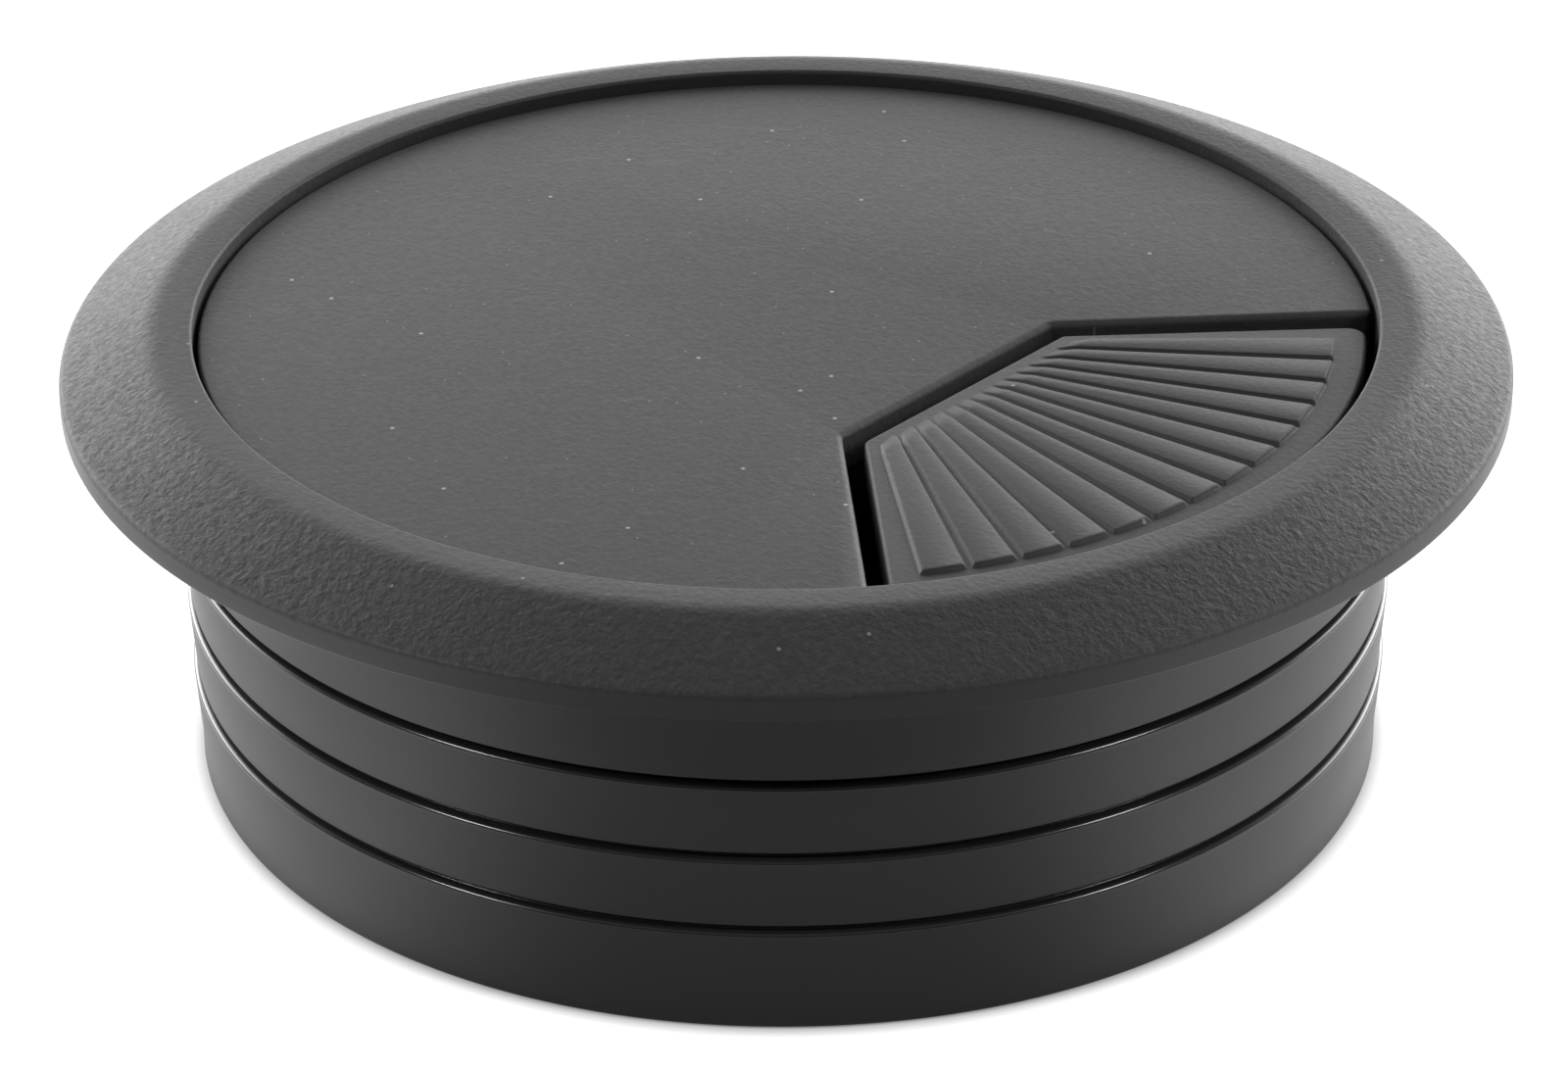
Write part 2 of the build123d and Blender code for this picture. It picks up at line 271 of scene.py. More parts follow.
class Maker:
    """Adds nodes to a shader tree or a geometry tree."""

    def __init__(self, tree):
        self.tree = tree

    def node(self, kind, settings=None, sockets=None):
        """One node: its settings first, then values or links for its sockets, by name or identifier."""
        node = self.tree.nodes.new(kind)
        for name, value in (settings or {}).items():
            setattr(node, name, value)
        for key, value in (sockets or {}).items():
            self.feed(self.find(node.inputs, key), value)
        return node

    @staticmethod
    def find(sockets, key):
        if isinstance(key, int):
            return sockets[key]
        for socket in sockets:
            if socket.identifier == key:
                return socket
        return sockets[key]

    def feed(self, socket, value):
        if isinstance(value, Value):
            self.tree.links.new(value.socket, socket)
        elif isinstance(value, bpy.types.NodeSocket):
            self.tree.links.new(value, socket)
        else:
            socket.default_value = value

    def value(self, node, output=0):
        return Value(self, self.find(node.outputs, output))

    def math(self, operation, *numbers):
        sockets = dict(enumerate(numbers))
        return self.value(self.node("ShaderNodeMath", {"operation": operation}, sockets))

    def onward(self, kind, last, settings=None, **sockets):
        """A geometry node that goes on from the mesh of the last one."""
        return self.node(kind, settings, {"Geometry": last.outputs[0], **sockets})

    def split(self, vector):
        """The three coordinates of a vector."""
        parts = self.node("ShaderNodeSeparateXYZ", sockets={"Vector": vector})
        return [self.value(parts, axis) for axis in range(3)]

    def join(self, x, y, z):
        return self.node("ShaderNodeCombineXYZ", sockets={"X": x, "Y": y, "Z": z}).outputs[0]

    def smooth(self, value, low, high, start=0.0, end=1.0):
        """An easy ramp from start at low to end at high."""
        settings = {"interpolation_type": "SMOOTHSTEP"}
        sockets = {"Value": value, "From Min": low, "From Max": high, "To Min": start, "To Max": end}
        return self.value(self.node("ShaderNodeMapRange", settings, sockets))

    def noise(self, vector, scale, detail=2.0, roughness=0.5):
        sockets = {"Vector": vector, "Scale": scale, "Detail": detail, "Roughness": roughness}
        return self.value(self.node("ShaderNodeTexNoise", sockets=sockets), "Fac")

    def specks(self, x, y, scale, size, odds, seed):
        """A few small round specks in plan: the middles of scattered cells, kept by lottery."""
        settings = {"voronoi_dimensions": "2D"}
        sockets = {"Vector": self.join(x + seed, y - seed * 0.7, 0), "Scale": scale}
        cells = self.node("ShaderNodeTexVoronoi", settings, sockets)
        distance = self.value(cells, "Distance")
        lottery = self.split(cells.outputs["Color"])[0]
        return self.smooth(distance, size, size * 0.5) * lottery.above(1 - odds)

    def blend(self, factor, first, second):
        """A mix of two colours."""
        settings = {"data_type": "RGBA"}
        sockets = {"Factor_Float": factor, "A_Color": first, "B_Color": second}
        return self.find(self.node("ShaderNodeMix", settings, sockets).outputs, "Result_Color")

    def bump(self, height, distance):
        sockets = {"Height": height, "Distance": distance, "Strength": 1.0}
        return self.node("ShaderNodeBump", sockets=sockets).outputs[0]


def material(name, paint, sizes):
    """A new material. paint draws its tree and returns the sockets of its Principled shader."""
    made = bpy.data.materials.new(name)
    made.use_nodes = True
    made.node_tree.nodes.clear()
    maker = Maker(made.node_tree)
    coordinates = maker.node("ShaderNodeTexCoord").outputs["Object"]
    shader = maker.node("ShaderNodeBsdfPrincipled", sockets=paint(maker, coordinates, sizes))
    maker.node("ShaderNodeOutputMaterial", sockets={"Surface": shader.outputs[0]})
    return made


def rgba(values, gain=1.0):
    return (*(value * gain for value in values), 1.0)


def shades(values, dark, pale):
    """A darker and a paler shade of a colour."""
    return rgba(values, dark), rgba(values, pale)


def liner_finish(maker, where, sizes):
    """Spark-eroded grain on the slope, a finer crest, and a smooth sleeve with polished barb lips, the
    sleeve painted paler as painted light.
    """
    x, y, z = maker.split(where)
    radius = (x * x + y * y).sqrt()
    on_top = maker.smooth(z, 0.7 * MM, 1.5 * MM)
    on_sleeve = maker.smooth(z, 0.0, -0.3 * MM)
    on_slope = on_top * maker.smooth(radius, sizes.crest_r - 0.8 * MM, sizes.crest_r + 0.9 * MM)
    grain = maker.noise(where, 2000, 3, 0.62)
    pits = maker.noise(where, 3600, 2, 0.5)
    powder = maker.smooth(maker.noise(where, 1700, 3, 0.7), 0.48, 0.66) * on_slope
    cloud = maker.noise(where, 120, 3, 0.5)
    grit = maker.smooth(maker.noise(where, 3000, 2, 0.7), 0.38, 0.66)
    height = grain * (on_slope * 0.85 + on_top * 0.15) + pits * (on_top * 0.35 + 0.02)
    flow = maker.noise(maker.join(x, y, z * 0.15), 900, 2, 0.5)
    height = height + flow * (1 - on_top) * 0.06
    dust = maker.specks(x, y, 420, 0.05, 0.05, 3.1) * on_top
    level = (z + sizes.land_h + sizes.groove_h) / sizes.barb_pitch
    from_lip = (level - level.round()).abs() * sizes.barb_pitch
    barbed = z.above(-sizes.land_h - sizes.barbs * sizes.barb_pitch) * on_sleeve
    polish = maker.smooth(from_lip, 0.36 * MM, 0.22 * MM) * barbed
    rough = 0.40 + on_top * 0.24 + cloud * 0.05 + dust * 0.2 - polish * 0.24
    tone = maker.blend(cloud * 0.5 + grain * 0.3, *shades(sizes.colour, 0.8, 1.25))
    # Painted light: the sleeve is painted 1.6 times paler, lifting it out of the shade under the flange.
    tone = maker.blend(on_sleeve, tone, rgba(sizes.colour, 1.6))
    return {
        "Base Color": maker.blend(dust * 0.4 + powder * 0.015, tone, (0.32, 0.32, 0.32, 1)),
        "Roughness": rough,
        "IOR": 1.48,
        "Coat Weight": (on_slope * 0.13 + on_top * 0.07) * grit,
        "Coat Roughness": 0.5,
        "Normal": maker.bump(height, 0.085 * MM),
    }


def cap_finish(maker, where, sizes):
    """A fine even matt grain, lightly dusted, with faint rub marks."""
    x, y, z = maker.split(where)
    grain = maker.noise(where, 3000, 3, 0.6)
    cloud = maker.noise(where, 150, 3, 0.5)
    grit = maker.smooth(maker.noise(where, 3400, 2, 0.7), 0.38, 0.66)
    powder = maker.smooth(maker.noise(where, 2200, 3, 0.7), 0.50, 0.68)
    rubs = maker.noise(maker.join(x * 0.25 + y * 0.2, y - x * 0.8, z), 700, 2, 0.4)
    dust = maker.specks(x, y, 330, 0.045, 0.09, 1.7)
    fluff = maker.specks(x, y, 900, 0.06, 0.06, 5.3)
    marks = maker.smooth(rubs, 0.66, 0.74)
    tone = maker.blend(cloud, *shades(sizes.colour, 0.85, 1.2))
    dusty = dust * 0.5 + fluff * 0.25 + powder * 0.01
    return {
        "Base Color": maker.blend(dusty, tone, (0.36, 0.36, 0.37, 1)),
        "Roughness": 0.62 + grain * 0.10 - marks * 0.04 + dust * 0.2,
        "IOR": 1.46,
        "Coat Weight": grit * 0.07,
        "Coat Roughness": 0.5,
        "Normal": maker.bump(grain + marks * 0.05, 0.035 * MM),
    }


def flap_finish(maker, where, sizes):
    """The same grain as the cap, with a little more polish where fingers press the ribs."""
    x, y, z = maker.split(where)
    grain = maker.noise(where, 3300, 3, 0.55)
    cloud = maker.noise(where, 170, 3, 0.5)
    grit = maker.smooth(maker.noise(where, 3400, 2, 0.7), 0.38, 0.66)
    worn = maker.smooth(z, sizes.top_z - 0.1 * MM, sizes.top_z + 0.25 * MM)
    dust = maker.specks(x, y, 380, 0.05, 0.09, 2.3)
    tone = maker.blend(cloud, *shades(sizes.colour, 0.85, 1.2))
    return {
        "Base Color": maker.blend(dust * 0.5, tone, (0.34, 0.34, 0.35, 1)),
        "Roughness": 0.60 - worn * 0.05 + cloud * 0.05 + dust * 0.2,
        "IOR": 1.41,
        "Coat Weight": grit * 0.05,
        "Coat Roughness": 0.5,
        "Normal": maker.bump(grain, 0.025 * MM),
    }


def steel_finish(maker, where, sizes):
    """Drawn steel, with fine lines along the hinge and a thin film of oil."""
    x, y, z = maker.split(where)
    lines = maker.noise(maker.join(x, y * 0.1, z), 6000, 2, 0.6)
    film = maker.noise(where, 500, 3, 0.5)
    tone = maker.blend(film, *shades(sizes.colour, 0.75, 1.1))
    return {
        "Base Color": tone,
        "Metallic": 1.0,
        "Roughness": 0.22 + film * 0.14 + lines * 0.06,
        "Normal": maker.bump(lines, 0.004 * MM),
    }


def floor_finish(maker, where, sizes):
    """Pale matt board, faintly mottled, glowing white to the camera; to other rays its painted glow is
    brighter beside and behind the object, and a painted shadow leaves it unlit under it.
    """
    x, y, _ = maker.split(where)
    radius = (x * x + y * y).sqrt()
    ahead = (x * sin(sizes.azimuth) - y * cos(sizes.azimuth)) / (radius + 0.1 * MM)
    # Painted light: glow for rays other than the camera's, dim in front of the object and brighter beside
    # and behind it.
    beside = maker.smooth(ahead, 0.97, 0.6, sizes.floor_front, sizes.floor_sides)
    beside = beside * maker.smooth(ahead, -0.2, -0.8, 1.0, 2.6)
    seen = maker.value(maker.node("ShaderNodeLightPath"), "Is Camera Ray")
    # Painted shadow: no glow inside DARK_R, under the object, rising to the whole glow at GLOW_R.
    clear = maker.smooth(radius, DARK_R, GLOW_R)
    cloud = maker.noise(where, 8, 3, 0.5)
    grain = maker.noise(where, 900, 2, 0.5)
    return {
        "Base Color": maker.blend(cloud, *shades(sizes.floor_colour, 0.99, 1.01)),
        "Roughness": 0.8 + grain * 0.1,
        "Specular IOR Level": 0.1,
        "Emission Color": (1, 1, 1, 1),
        "Emission Strength": (seen * sizes.floor_white + (1 - seen) * beside) * clear,
        "Normal": maker.bump(grain, 0.005 * MM),
    }


# Shapes


def rounded(corners, steps=5):
    """A closed outline through corners (a, b, radius), each rounded to its own radius."""
    outline = []
    for n, (a, b, radius) in enumerate(corners):
        here = Vector((a, b))
        if radius == 0:
            outline.append(here)
            continue
        before = (Vector(corners[n - 1][:2]) - here).normalized()
        after = (Vector(corners[(n + 1) % len(corners)][:2]) - here).normalized()
        half = before.angle(after) / 2
        centre = here + (before + after).normalized() * (radius / sin(half))
        start = here + before * (radius / tan(half)) - centre
        end = here + after * (radius / tan(half)) - centre
        sweep = pi - 2 * half
        for k in range(steps + 1):
            part = k / steps
            outline.append(
                centre + (start * sin((1 - part) * sweep) + end * sin(part * sweep)) / sin(sweep)
            )
    return outline


def arc(radius, start, end, steps):
    """Points with no rounding of their own on a circle about the origin."""
    turns = [start + (end - start) * k / steps for k in range(steps + 1)]
    return [(radius * cos(turn), radius * sin(turn), 0) for turn in turns]


def side_normals(outline):
    """Outward unit normals of a closed outline that runs anticlockwise."""
    normals = []
    for n, here in enumerate(outline):
        along = (outline[(n + 1) % len(outline)] - here).normalized()
        along += (here - outline[n - 1]).normalized()
        normals.append(Vector((along.y, -along.x)).normalized())
    return normals


class Shape:
    """Points and faces of one piece, gathered from simple closed bodies."""

    def __init__(self):
        self.points = []
        self.faces = []

    def rings(self, rings, closed=False, ends=True):
        """A skin over rings with equal numbers of points. closed joins the last ring to the first."""
        start = len(self.points)
        size = len(rings[0])
        for ring in rings:
            self.points.extend(tuple(point) for point in ring)
        spans = len(rings) if closed else len(rings) - 1
        for n in range(spans):
            here = start + n * size
            there = start + (n + 1) % len(rings) * size
            for k in range(size):
                j = (k + 1) % size
                self.faces.append((here + k, here + j, there + j, there + k))
        if ends and not closed:
            self.faces.append(tuple(reversed(range(start, start + size))))
            last = start + (len(rings) - 1) * size
            self.faces.append(tuple(range(last, last + size)))

    def turned(self, outline, steps=256):
        """A ring about Z whose section is an outline of (radius, height)."""
        rings = []
        for n in range(steps):
            turn = 2 * pi * n / steps
            rings.append([(p.x * cos(turn), p.x * sin(turn), p.y) for p in outline])
        self.rings(rings, closed=True)

    def plate(self, outline, low, high, low_edge, high_edge, steps=4, to=Matrix()):
        """A plate over an outline with rounded edges. high_edge is a radius or one for each point."""
        normals = side_normals(outline)
        high_edges = high_edge if isinstance(high_edge, list) else [high_edge] * len(outline)
        rings = []
        for k in range(steps + 1):
            turn = pi / 2 * (1 - k / steps)
            inset = low_edge * (1 - cos(turn))
            height = low + low_edge * (1 - sin(turn))
            rings.append([(*(p - n * inset), height) for p, n in zip(outline, normals)])
        for k in range(steps + 1):
            turn = pi / 2 * k / steps
            ring = []
            for p, n, edge in zip(outline, normals, high_edges):
                ring.append((*(p - n * edge * (1 - cos(turn))), high - edge * (1 - sin(turn))))
            rings.append(ring)
        self.rings([[to @ Vector(point) for point in ring] for ring in rings])

    def mesh(self, name, crease=32):
        """The finished mesh, with its faces outward and its shading broken only at creases."""
        mesh = bpy.data.meshes.new(name)
        mesh.from_pydata(self.points, [], self.faces)
        tidy_mesh(mesh, crease)
        return mesh


def tidy_mesh(mesh, crease=32):
    """Merges doubles, turns every face outward and sets smooth shading with creases."""
    work = bmesh.new()
    work.from_mesh(mesh)
    bmesh.ops.remove_doubles(work, verts=work.verts, dist=0.2e-6)
    bmesh.ops.recalc_face_normals(work, faces=work.faces)
    work.to_mesh(mesh)
    work.free()
    mesh.shade_smooth()
    for face in mesh.polygons:
        face.use_smooth = face.loop_total <= 4
    mesh.set_sharp_from_angle(angle=radians(crease))


def add(name, mesh):
    """An object at the origin that holds a mesh."""
    piece = bpy.data.objects.new(name, mesh)
    bpy.context.scene.collection.objects.link(piece)
    return piece


def settle(piece, finish, body, slot, *nodes):
    """Gives a piece its finish, its body and the CAD nodes that it stands for. The slot argument is not
    used.
    """
    piece.data.materials.clear()
    piece.data.materials.append(finish)
    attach(piece, body)
    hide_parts(*nodes)


def finish_named(name, paint, sizes):
    """The material of that name, made the first time that it is asked for."""
    return bpy.data.materials.get(name) or material(name, paint, sizes)


def about(hinge, radius, turns):
    """Points (x, z) round the hinge's axis."""
    return [(hinge.axis_x + radius * cos(turn), hinge.axis_z + radius * sin(turn)) for turn in turns]


def rod(hinge, stations):
    """A round rod along the hinge's axis, through stations (y, radius)."""
    turns = [2 * pi * n / 48 for n in range(48)]
    shape = Shape()
    shape.rings([[(x, y, z) for x, z in about(hinge, radius, turns)] for y, radius in stations])
    return shape


def drilled(piece, hinge, radius):
    """Cuts a round hole along the hinge's axis through a piece."""
    drill = rod(hinge, [(-DRILL, radius), (DRILL, radius)])
    cutter = add("drill", drill.mesh("drill"))
    cut = piece.modifiers.new("hole", "BOOLEAN")
    cut.operation = "DIFFERENCE"
    cut.solver = "EXACT"
    cut.use_self = True
    cut.object = cutter
    bake_modifiers(piece)
    bpy.data.objects.remove(cutter)
    return piece


def evaluated(piece):
    """A plain mesh of what a piece's modifiers, or its curve, give."""
    bpy.context.view_layer.update()
    graph = bpy.context.evaluated_depsgraph_get()
    return bpy.data.meshes.new_from_object(piece.evaluated_get(graph))


def bake_modifiers(piece, crease=32):
    """Turns what a piece's modifiers give into its plain mesh, and removes them."""
    mesh = evaluated(piece)
    mesh.name = piece.name
    piece.modifiers.clear()
    piece.data = mesh
    tidy_mesh(mesh, crease)


# Geometry Nodes


def geometry_tree(name, inputs):
    """A new geometry tree with a geometry input and output, and named inputs (name, type)."""
    tree = bpy.data.node_groups.new(name, "GeometryNodeTree")
    tree.interface.new_socket("Geometry", in_out="INPUT", socket_type="NodeSocketGeometry")
    tree.interface.new_socket("Geometry", in_out="OUTPUT", socket_type="NodeSocketGeometry")
    for title, kind in inputs:
        tree.interface.new_socket(title, in_out="INPUT", socket_type=kind)
    return tree


def end_tree(maker, given, last):
    """Gives the mesh of the last node the tree's material, and ends the tree."""
    painted = maker.onward("GeometryNodeSetMaterial", last, Material=given.outputs["Material"])
    maker.onward("NodeGroupOutput", painted)


def apply_tree(piece, tree, values):
    """Runs a geometry tree on a piece with its inputs set, and keeps the plain mesh."""
    modifier = piece.modifiers.new(tree.name, "NODES")
    modifier.node_group = tree
    for item in tree.interface.items_tree:
        if item.in_out == "INPUT" and item.name in values:
            modifier[item.identifier] = values[item.name]
    bake_modifiers(piece)


FLOAT = "NodeSocketFloat"
INTEGER = "NodeSocketInt"
MATERIAL = "NodeSocketMaterial"


def fan_tree():
    """Sets copies of a rib blank side by side in a fan, each between two rays from the fan's apex.

    The blank is one metre long and two wide, with real sizes for the rounding of its edges. Its ends
    and sides are brought in to where the rib's own ends and sides are, and it rises from its inner end.
    """
    inputs = [("Ribs", INTEGER), ("Pitch", FLOAT), ("Half Width", FLOAT), ("Near", FLOAT)]
    inputs += [("Apex", FLOAT), ("End Radius", FLOAT), ("Rise", FLOAT), ("Material", MATERIAL)]
    tree = geometry_tree("rib_fan", inputs)
    maker = Maker(tree)
    given = maker.node("NodeGroupInput")
    names = ("Ribs", "Pitch", "Half Width", "Near", "Apex", "End Radius", "Rise")
    ribs, pitch, half, near, apex, end_r, rise = [maker.value(given, name) for name in names]
    row = maker.node("GeometryNodeMeshLine", sockets={"Count": ribs, "Offset": (0, 0, 0)})
    index = maker.value(maker.node("GeometryNodeInputIndex"))
    turn = (index - (ribs - 1) / 2) * pitch
    stored = {"data_type": "FLOAT", "domain": "POINT"}
    marked = maker.onward("GeometryNodeStoreNamedAttribute", row, stored, Name="rib_turn", Value=turn)
    copies = maker.node(
        "GeometryNodeInstanceOnPoints",
        sockets={"Points": marked.outputs[0], "Instance": given.outputs["Geometry"]},
    )
    solid = maker.onward("GeometryNodeRealizeInstances", copies)
    x, y, z = maker.split(maker.node("GeometryNodeInputPosition").outputs[0])
    kept = maker.node("GeometryNodeInputNamedAttribute", {"data_type": "FLOAT"}, {"Name": "rib_turn"})
    side = y.sign()
    ray = maker.value(kept, "Attribute") + side * half
    start = near / ray.cos()
    reach = apex * ray.cos()
    end = (reach * reach - apex * apex + end_r * end_r).sqrt() - reach
    along = start + x + x.above(0.5) * (end - start - 1)
    inset = side - y
    sunk = (1 - maker.smooth(x, 0.1 * MM, rise)) * z.above(-0.01 * MM)
    placed = maker.join(
        apex + along * ray.cos() + inset * ray.sin(),
        along * ray.sin() - inset * ray.cos(),
        z - sunk * (z + 0.04 * MM),
    )
    moved = maker.onward("GeometryNodeSetPosition", solid, Position=placed)
    bare = maker.onward("GeometryNodeRemoveAttribute", moved, Name="rib_turn")
    end_tree(maker, given, bare)
    return tree


def finger_tree():
    """Sets copies of one snap finger round the underside of the cap, centred opposite the slot."""
    inputs = [("Fingers", INTEGER), ("Spacing", FLOAT), ("Material", MATERIAL)]
    tree = geometry_tree("finger_ring", inputs)
    maker = Maker(tree)
    given = maker.node("NodeGroupInput")
    fingers = maker.value(given, "Fingers")
    row = maker.node("GeometryNodeMeshLine", sockets={"Count": fingers, "Offset": (0, 0, 0)})
    index = maker.value(maker.node("GeometryNodeInputIndex"))
    turn = pi + (index - (fingers - 1) / 2) * maker.value(given, "Spacing")
    copies = maker.node(
        "GeometryNodeInstanceOnPoints",
        sockets={
            "Points": row.outputs[0],
            "Instance": given.outputs["Geometry"],
            "Rotation": maker.join(0, 0, turn),
        },
    )
    solid = maker.onward("GeometryNodeRealizeInstances", copies)
    end_tree(maker, given, solid)
    return tree


# Pieces


def liner_outline(sizes):
    """Section of the liner as (radius, height): over the flange, down the barbs, and up the bore."""
    crest = sizes.crest_h
    corners = [
        (sizes.bore_r, crest, 0.2 * MM),
        (sizes.bore_r, sizes.ring_z, 0.15 * MM),
        (sizes.ring_r, sizes.ring_z, 0.12 * MM),
        (sizes.ring_r, sizes.ring_z - sizes.ring_h, 0.12 * MM),
        (sizes.lower_bore_r, sizes.ring_z - sizes.ring_h, 0.12 * MM),
        (sizes.lower_bore_r, sizes.foot_z, 0.25 * MM),
        (sizes.foot_r, sizes.foot_z, 0.35 * MM),
    ]
    for n in reversed(range(sizes.barbs)):
        groove_z = -sizes.land_h - n * sizes.barb_pitch
        lip_z = groove_z - sizes.groove_h
        lip_r = sizes.barb_lip_r - n * sizes.barb_taper
        if n == sizes.barbs - 1:
            end_z = max(lip_z - sizes.barb_pitch + sizes.groove_h, sizes.foot_z + 1.0 * MM)
            corners.append((max(lip_r - sizes.barb_rise, sizes.foot_r), end_z, 0))
        corners.append((lip_r, lip_z, 0.22 * MM))
        corners.append((sizes.foot_r - sizes.groove_depth, lip_z, 0.04 * MM))
        above_r = sizes.land_r if n == 0 else lip_r + sizes.barb_taper - sizes.barb_rise
        corners.append((above_r, groove_z, 0.05 * MM))
    corners += [
        (sizes.land_r, 0, 0.15 * MM),
        (sizes.flange_r, 0, 0.15 * MM),
        (sizes.flange_r, sizes.edge_h, 0.4 * MM),
        (sizes.crest_r, crest, sizes.shoulder),
    ]
    return rounded(corners, steps=6)


class GROMMET_OT_liner(bpy.types.Operator):
    """Turn the liner: flange, barbed sleeve and support ring"""

    bl_idname = "grommet.liner"
    bl_label = "Liner"

    def execute(self, context):
        sizes = context.scene.grommet_liner
        shape = Shape()
        shape.turned(liner_outline(sizes), steps=320)
        piece = add("liner_turned", shape.mesh("liner_turned"))
        finish = finish_named("moulded_liner", liner_finish, sizes)
        settle(piece, finish, "liner", "liner_black", "liner")
        return {"FINISHED"}


def fan_mouth(chord, half, slope, radius):
    """Where a fan's sloping side meets a circle: X, Y and the angle from the X axis."""
    part = chord * cos(slope) + half * sin(slope)
    run = sqrt(part**2 - chord**2 - half**2 + radius**2) - part
    x = chord + run * cos(slope)
    y = half + run * sin(slope)
    return x, y, Vector((x, y)).angle(Vector((1, 0)))


def cap_outline(sizes):
    """The disc with the cable slot cut out of its +X side."""
    mouth_x, mouth_y, mouth = fan_mouth(sizes.slot_x, sizes.slot_half, sizes.slot_slope, sizes.radius)
    corners = [(mouth_x, mouth_y, sizes.slot_edge)]
    corners += arc(sizes.radius, mouth + FAN_CORNER, 2 * pi - mouth - FAN_CORNER, 288)
    corners += [
        (mouth_x, -mouth_y, sizes.slot_edge),
        (sizes.slot_x, -sizes.slot_half, sizes.slot_edge),
        (sizes.slot_x, sizes.slot_half, sizes.slot_edge),
    ]
    return rounded(corners, steps=6)


class GROMMET_OT_cap(bpy.types.Operator):
    """Mould the cap: the slotted disc and the two hinge lugs under it"""

    bl_idname = "grommet.cap"
    bl_label = "Cap"

    def execute(self, context):
        sizes = context.scene.grommet_cap
        hinge = context.scene.grommet_hinge
        finish = finish_named("moulded_cap", cap_finish, sizes)
        outline = cap_outline(sizes)
        edges = []
        for point in outline:
            inward = min(max((sizes.radius - point.length) / sizes.slot_edge, 0), 1)
            edges.append(sizes.rim_edge + (sizes.slot_edge - sizes.rim_edge) * inward)
        under = sizes.top_z - sizes.thickness
        disc = Shape()
        disc.plate(outline, under, sizes.top_z, HIDDEN_EDGE, edges, steps=6)
        settle(add("cap_disc", disc.mesh("cap_disc")), finish, "cap", "cap_black", "cap")
        lugs = Shape()
        back_x = hinge.axis_x - sizes.lug_r - hinge.pin_r
        section = [(hinge.axis_x + sizes.lug_r, under + JOIN), (back_x, under + JOIN)]
        section += about(hinge, sizes.lug_r, [pi + pi * n / 16 for n in range(17)])
        outline = [Vector(point) for point in section]
        for side in (1, -1):
            low, high = sorted((side * sizes.lug_out, side * (sizes.lug_out - sizes.lug_t)))
            lugs.plate(outline, -high, -low, LUG_EDGE, LUG_EDGE, to=UPRIGHT)
        piece = add("cap_lugs", lugs.mesh("cap_lugs"))
        drilled(piece, hinge, hinge.pin_r)
        settle(piece, finish, "cap", "cap_black", "cap")
        return {"FINISHED"}


UPRIGHT = Matrix(((1, 0, 0, 0), (0, 0, -1, 0), (0, 1, 0, 0), (0, 0, 0, 1)))


class GROMMET_OT_fingers(bpy.types.Operator):
    """Set the snap fingers round the underside of the cap"""

    bl_idname = "grommet.fingers"
    bl_label = "Snap fingers"

    def execute(self, context):
        sizes = context.scene.grommet_cap
        under = sizes.top_z - sizes.thickness
        inner = sizes.finger_r - sizes.finger_t
        neck_in = sizes.neck_r - sizes.neck_t
        section = rounded(
            [
                (sizes.finger_r, under + JOIN, 0),
                (sizes.finger_r, sizes.seat_z, 0.1 * MM),
                (sizes.neck_r, sizes.seat_z, 0.1 * MM),
                (sizes.neck_r, sizes.hook_z, 0.08 * MM),
                (sizes.hook_r, sizes.hook_z, 0.1 * MM),
                (sizes.hook_r, sizes.hook_z - sizes.hook_h, 0.2 * MM),
                (sizes.neck_r, sizes.tip_z, 0.15 * MM),
                (neck_in, sizes.tip_z, 0.15 * MM),
                (neck_in, sizes.seat_z, 0.5 * MM),
                (inner, sizes.seat_z + sizes.finger_t, 0.5 * MM),
                (inner, under + JOIN, 0),
            ],
            steps=4,
        )
        steps = 12
        rings = []
        for n in range(steps + 1):
            turn = sizes.finger_arc * (n / steps - 0.5)
            rings.append([(p.x * cos(turn), p.x * sin(turn), p.y) for p in section])
        shape = Shape()
        shape.rings(rings)
        piece = add("cap_fingers", shape.mesh("cap_fingers"))
        finish = finish_named("moulded_cap", cap_finish, sizes)
        given = {"Fingers": sizes.fingers, "Spacing": sizes.finger_spacing, "Material": finish}
        apply_tree(piece, finger_tree(), given)
        settle(piece, finish, "cap", "cap_black", "cap")
        return {"FINISHED"}


def leaf_place(sizes):
    """From the flap's own plane, with its origin at the middle of its inner edge, to the frame."""
    return Matrix.Translation((sizes.chord_x, 0, sizes.top_z)) @ Matrix.Rotation(sizes.droop, 4, "Y")


def flap_underside(sizes, x):
    """Height of the underside of the closed flap at x."""
    drop = (x - sizes.chord_x) * tan(sizes.droop)
    return sizes.top_z - sizes.thickness / cos(sizes.droop) - drop


def flap_outline(sizes):
    """The plate of the flap in its own plane, X from its inner edge."""
    mouth_x, mouth_y, mouth = fan_mouth(sizes.chord_x, sizes.half_chord, sizes.slope, sizes.radius)
    corners = [
        (sizes.chord_x, -sizes.half_chord, sizes.inner_corner),
        (mouth_x, -mouth_y, sizes.outer_corner),
    ]
    corners += arc(sizes.radius, LEAF_CORNER - mouth, mouth - LEAF_CORNER, 96)
    corners += [
        (mouth_x, mouth_y, sizes.outer_corner),
        (sizes.chord_x, sizes.half_chord, sizes.inner_corner),
    ]
    return [point - Vector((sizes.chord_x, 0)) for point in rounded(corners, steps=8)]


